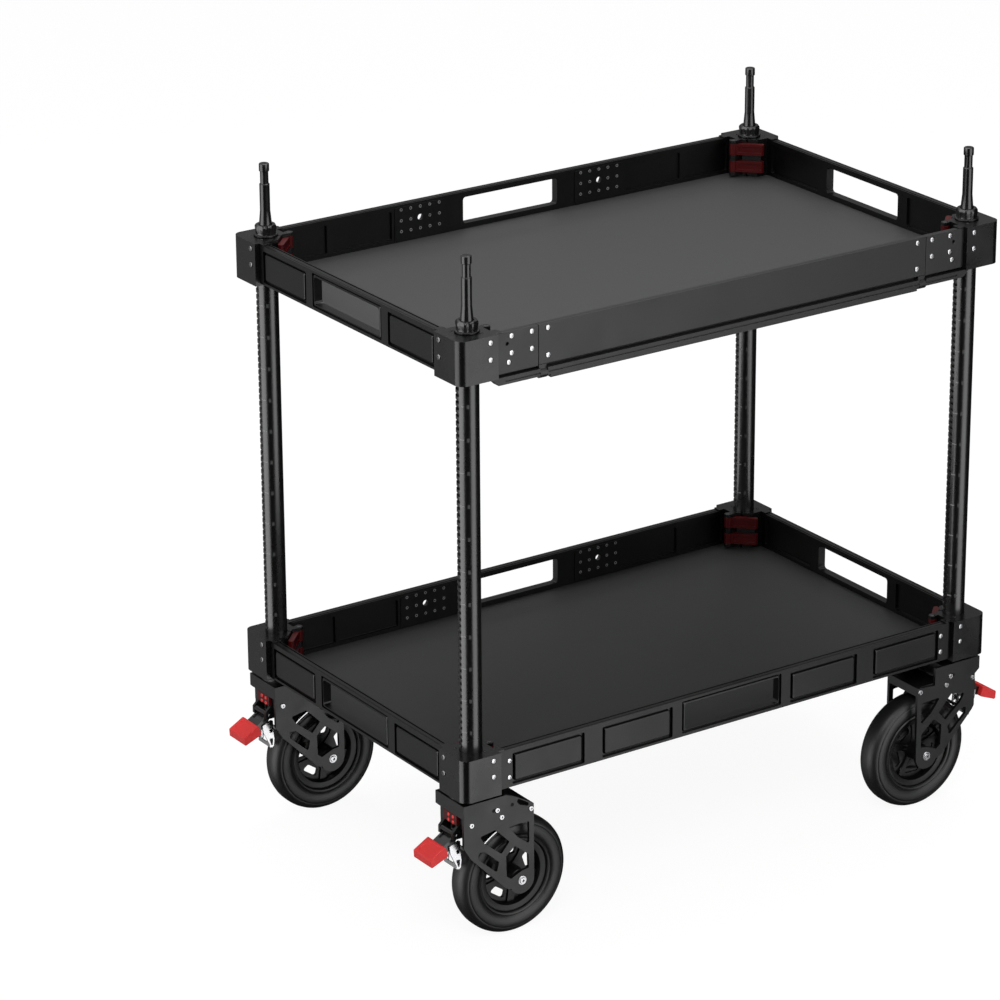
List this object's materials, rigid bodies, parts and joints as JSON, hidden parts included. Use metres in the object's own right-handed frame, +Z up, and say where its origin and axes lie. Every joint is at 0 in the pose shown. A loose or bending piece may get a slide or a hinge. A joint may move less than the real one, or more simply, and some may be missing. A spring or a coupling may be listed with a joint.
{
  "type": "camera cart",
  "caption": "Wheeled camera cart with upper and lower trays on notched posts, baby pins, clamp levers, a fold-down front panel and braked swivel casters.",
  "frame": {"origin": "on the floor under the middle of the trays", "axes": "+X along the long side to the right, +Y to the back, +Z up; the fold-down front panel faces -Y"},
  "size_m": [1.1144, 0.634, 1.0992],
  "materials": {
    "upper_deck_grey": "fine matt grain, mid grey",
    "lower_deck_grey": "fine matt grain, dark grey",
    "wall_black": "moulded black, satin",
    "block_black": "cast, black powder coat, satin",
    "panel_black": "black anodised, satin",
    "post_black": "black anodised, glossy",
    "pin_black": "black oxide steel, semi gloss",
    "lock_black": "black anodised, satin",
    "lever_red": "red anodised, satin",
    "fork_black": "black powder coat, satin",
    "rim_black": "moulded black, semi gloss",
    "tyre_black": "black rubber, satin",
    "pedal_red": "moulded red, satin",
    "bright_steel": "bright plated screws, rivets and brake yokes"
  },
  "bodies": {
    "chassis": {"lower_deck": "lower_deck_grey", "lower_front_wall": "wall_black", "lower_back_wall": "wall_black", "lower_left_wall": "wall_black", "lower_right_wall": "wall_black", "lower_block_front_left": "block_black", "lower_block_back_left": "block_black", "lower_block_back_right": "block_black", "lower_block_front_right": "block_black", "post_front_left": "post_black", "post_back_left": "post_black", "post_back_right": "post_black", "post_front_right": "post_black", "baby_pin_front_left": "pin_black", "baby_pin_back_left": "pin_black", "baby_pin_back_right": "pin_black", "baby_pin_front_right": "pin_black"},
    "upper_tray": {"upper_deck": "upper_deck_grey", "upper_back_wall": "wall_black", "upper_left_wall": "wall_black", "upper_right_wall": "wall_black", "upper_block_front_left": "block_black", "upper_block_back_left": "block_black", "upper_block_back_right": "block_black", "upper_block_front_right": "block_black", "front_rail": "panel_black", "left_end_plate": "panel_black", "right_end_plate": "panel_black"},
    "front_panel": {"front_panel": "panel_black", "left_panel_hinge": "panel_black", "right_panel_hinge": "panel_black"},
    "upper_lever_front_left": {"upper_lever_front_left": "lever_red"},
    "lower_lever_front_left": {"lower_lever_front_left": "lever_red"},
    "pin_lock_front_left": {"pin_lock_front_left": "lock_black"},
    "fork_front_left": {"fork_front_left": "fork_black"},
    "wheel_front_left": {"rim_front_left": "rim_black", "tyre_front_left": "tyre_black"},
    "pedal_front_left": {"brake_pedal_front_left": "pedal_red"},
    "upper_lever_back_left": {"upper_lever_back_left": "lever_red"},
    "lower_lever_back_left": {"lower_lever_back_left": "lever_red"},
    "pin_lock_back_left": {"pin_lock_back_left": "lock_black"},
    "fork_back_left": {"fork_back_left": "fork_black"},
    "wheel_back_left": {"rim_back_left": "rim_black", "tyre_back_left": "tyre_black"},
    "pedal_back_left": {"brake_pedal_back_left": "pedal_red"},
    "upper_lever_back_right": {"upper_lever_back_right": "lever_red"},
    "lower_lever_back_right": {"lower_lever_back_right": "lever_red"},
    "pin_lock_back_right": {"pin_lock_back_right": "lock_black"},
    "fork_back_right": {"fork_back_right": "fork_black"},
    "wheel_back_right": {"rim_back_right": "rim_black", "tyre_back_right": "tyre_black"},
    "pedal_back_right": {"brake_pedal_back_right": "pedal_red"},
    "upper_lever_front_right": {"upper_lever_front_right": "lever_red"},
    "lower_lever_front_right": {"lower_lever_front_right": "lever_red"},
    "pin_lock_front_right": {"pin_lock_front_right": "lock_black"},
    "fork_front_right": {"fork_front_right": "fork_black"},
    "wheel_front_right": {"rim_front_right": "rim_black", "tyre_front_right": "tyre_black"},
    "pedal_front_right": {"brake_pedal_front_right": "pedal_red"}
  },
  "joints": [
    {"name": "upper_tray_height", "type": "slide", "parent": "chassis", "child": "upper_tray", "axis": [0, 0, 1], "range_m": [-0.55, 0]},
    {"name": "front_panel_fold", "type": "hinge", "parent": "upper_tray", "child": "front_panel", "pos_m": [0, -0.306, 0.906], "axis": [1, 0, 0], "range_deg": [0, 90]},
    {"name": "upper_lever_front_left", "type": "hinge", "parent": "upper_tray", "child": "upper_lever_front_left", "pos_m": [-0.42952, -0.27264, 0.954], "axis": [0, 0, -1], "range_deg": [0, 95]},
    {"name": "upper_lever_back_left", "type": "hinge", "parent": "upper_tray", "child": "upper_lever_back_left", "pos_m": [-0.42952, 0.27264, 0.954], "axis": [0, 0, 1], "range_deg": [0, 95]},
    {"name": "upper_lever_back_right", "type": "hinge", "parent": "upper_tray", "child": "upper_lever_back_right", "pos_m": [0.42952, 0.27264, 0.954], "axis": [0, 0, -1], "range_deg": [0, 95]},
    {"name": "upper_lever_front_right", "type": "hinge", "parent": "upper_tray", "child": "upper_lever_front_right", "pos_m": [0.42952, -0.27264, 0.954], "axis": [0, 0, 1], "range_deg": [0, 95]},
    {"name": "lower_lever_front_left", "type": "hinge", "parent": "chassis", "child": "lower_lever_front_left", "pos_m": [-0.42952, -0.27264, 0.293], "axis": [0, 0, -1], "range_deg": [0, 95]},
    {"name": "lower_lever_back_left", "type": "hinge", "parent": "chassis", "child": "lower_lever_back_left", "pos_m": [-0.42952, 0.27264, 0.293], "axis": [0, 0, 1], "range_deg": [0, 95]},
    {"name": "lower_lever_back_right", "type": "hinge", "parent": "chassis", "child": "lower_lever_back_right", "pos_m": [0.42952, 0.27264, 0.293], "axis": [0, 0, -1], "range_deg": [0, 95]},
    {"name": "lower_lever_front_right", "type": "hinge", "parent": "chassis", "child": "lower_lever_front_right", "pos_m": [0.42952, -0.27264, 0.293], "axis": [0, 0, 1], "range_deg": [0, 95]},
    {"name": "pin_lock_front_left", "type": "hinge", "parent": "chassis", "child": "pin_lock_front_left", "pos_m": [-0.467, -0.279, 0.9928], "axis": [0, 0, 1], "range_deg": [0, 90]},
    {"name": "pin_lock_back_left", "type": "hinge", "parent": "chassis", "child": "pin_lock_back_left", "pos_m": [-0.467, 0.279, 0.9928], "axis": [0, 0, 1], "range_deg": [0, 90]},
    {"name": "pin_lock_back_right", "type": "hinge", "parent": "chassis", "child": "pin_lock_back_right", "pos_m": [0.467, 0.279, 0.9928], "axis": [0, 0, 1], "range_deg": [0, 90]},
    {"name": "pin_lock_front_right", "type": "hinge", "parent": "chassis", "child": "pin_lock_front_right", "pos_m": [0.467, -0.279, 0.9928], "axis": [0, 0, 1], "range_deg": [0, 90]},
    {"name": "caster_swivel_front_left", "type": "hinge", "parent": "chassis", "child": "fork_front_left", "pos_m": [-0.467, -0.2703, 0.25], "axis": [0, 0, 1], "continuous": true},
    {"name": "wheel_spin_front_left", "type": "hinge", "parent": "fork_front_left", "child": "wheel_front_left", "pos_m": [-0.3954, -0.2703, 0.0965], "axis": [0, 1, 0], "continuous": true},
    {"name": "brake_pedal_front_left", "type": "hinge", "parent": "fork_front_left", "child": "pedal_front_left", "pos_m": [-0.504, -0.2703, 0.195], "axis": [0, -1, 0], "range_deg": [0, 14]},
    {"name": "caster_swivel_back_left", "type": "hinge", "parent": "chassis", "child": "fork_back_left", "pos_m": [-0.467, 0.2703, 0.25], "axis": [0, 0, 1], "continuous": true},
    {"name": "wheel_spin_back_left", "type": "hinge", "parent": "fork_back_left", "child": "wheel_back_left", "pos_m": [-0.3954, 0.2703, 0.0965], "axis": [0, 1, 0], "continuous": true},
    {"name": "brake_pedal_back_left", "type": "hinge", "parent": "fork_back_left", "child": "pedal_back_left", "pos_m": [-0.504, 0.2703, 0.195], "axis": [0, -1, 0], "range_deg": [0, 14]},
    {"name": "caster_swivel_back_right", "type": "hinge", "parent": "chassis", "child": "fork_back_right", "pos_m": [0.467, 0.2703, 0.25], "axis": [0, 0, 1], "continuous": true},
    {"name": "wheel_spin_back_right", "type": "hinge", "parent": "fork_back_right", "child": "wheel_back_right", "pos_m": [0.3954, 0.2703, 0.0965], "axis": [0, 1, 0], "continuous": true},
    {"name": "brake_pedal_back_right", "type": "hinge", "parent": "fork_back_right", "child": "pedal_back_right", "pos_m": [0.504, 0.2703, 0.195], "axis": [0, 1, 0], "range_deg": [0, 14]},
    {"name": "caster_swivel_front_right", "type": "hinge", "parent": "chassis", "child": "fork_front_right", "pos_m": [0.467, -0.2703, 0.25], "axis": [0, 0, 1], "continuous": true},
    {"name": "wheel_spin_front_right", "type": "hinge", "parent": "fork_front_right", "child": "wheel_front_right", "pos_m": [0.3954, -0.2703, 0.0965], "axis": [0, 1, 0], "continuous": true},
    {"name": "brake_pedal_front_right", "type": "hinge", "parent": "fork_front_right", "child": "pedal_front_right", "pos_m": [0.504, -0.2703, 0.195], "axis": [0, 1, 0], "range_deg": [0, 14]}
  ]
}
